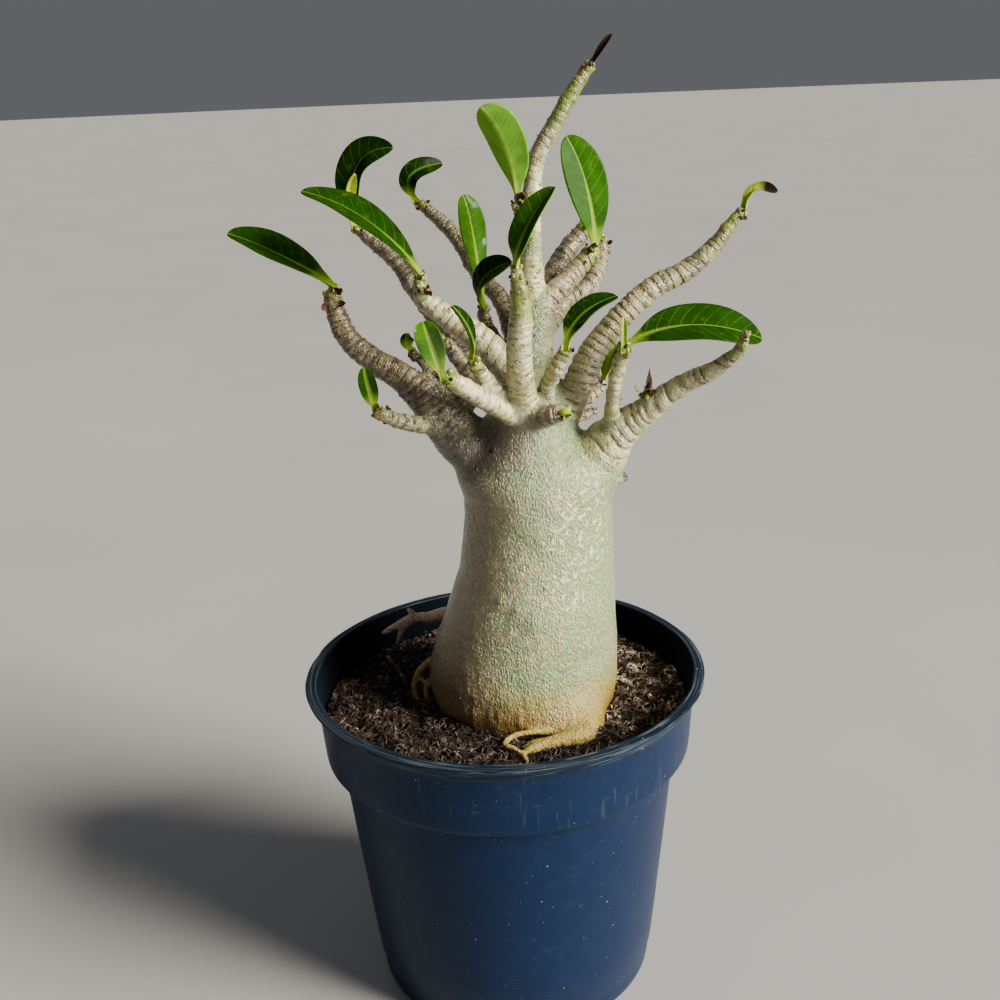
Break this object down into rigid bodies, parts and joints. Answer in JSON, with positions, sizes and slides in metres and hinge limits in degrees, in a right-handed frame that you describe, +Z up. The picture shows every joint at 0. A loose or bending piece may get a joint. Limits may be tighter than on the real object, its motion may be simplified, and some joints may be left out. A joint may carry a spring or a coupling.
{
  "type": "potted desert rose plant",
  "caption": "Desert rose (adenium) in a black nursery pot: a swollen pale trunk with knobbly ringed branches, glossy oval leaves at the tips, dark soil and a few surface roots.",
  "frame": {"origin": "centre of the pot's flat underside", "axes": "+Z up along the pot's axis, the viewer on the -Y side, +X to the viewer's right"},
  "size_m": [0.1882, 0.15, 0.3479],
  "materials": {
    "pot": "semi-gloss black moulded plastic with scuffs and dust",
    "soil": "dark crumbly peat with coir fibres and light chips",
    "bark": "living grey-green to beige bark, finely wrinkled, with leaf scars",
    "leaf": "deep green glossy leaf with a pale midrib and thin side veins",
    "young_leaf": "soft yellow-green young leaf, satin",
    "dried_leaf": "dead rolled leaf, black-brown and matt"
  },
  "bodies": {
    "root": {"pot": "pot", "soil": "soil", "plant": "bark", "leaf_far_left": "leaf", "leaf_back_left": "leaf", "leaf_long_left": "leaf", "leaf_curled_left": "leaf", "leaf_inner_upright": "leaf", "leaf_inner_dark": "leaf", "leaf_front": "leaf", "leaf_low_left": "leaf", "leaf_glossy_left": "leaf", "leaf_dim_left": "leaf", "leaf_edge_on": "leaf", "leaf_top": "leaf", "leaf_top_right": "leaf", "leaf_mid_right": "leaf", "leaf_long_right": "leaf", "leaf_back_right": "leaf", "new_leaf_back_left": "young_leaf", "new_leaf_right": "young_leaf", "curled_leaf": "young_leaf", "dead_leaf": "dried_leaf"}
  },
  "joints": []
}
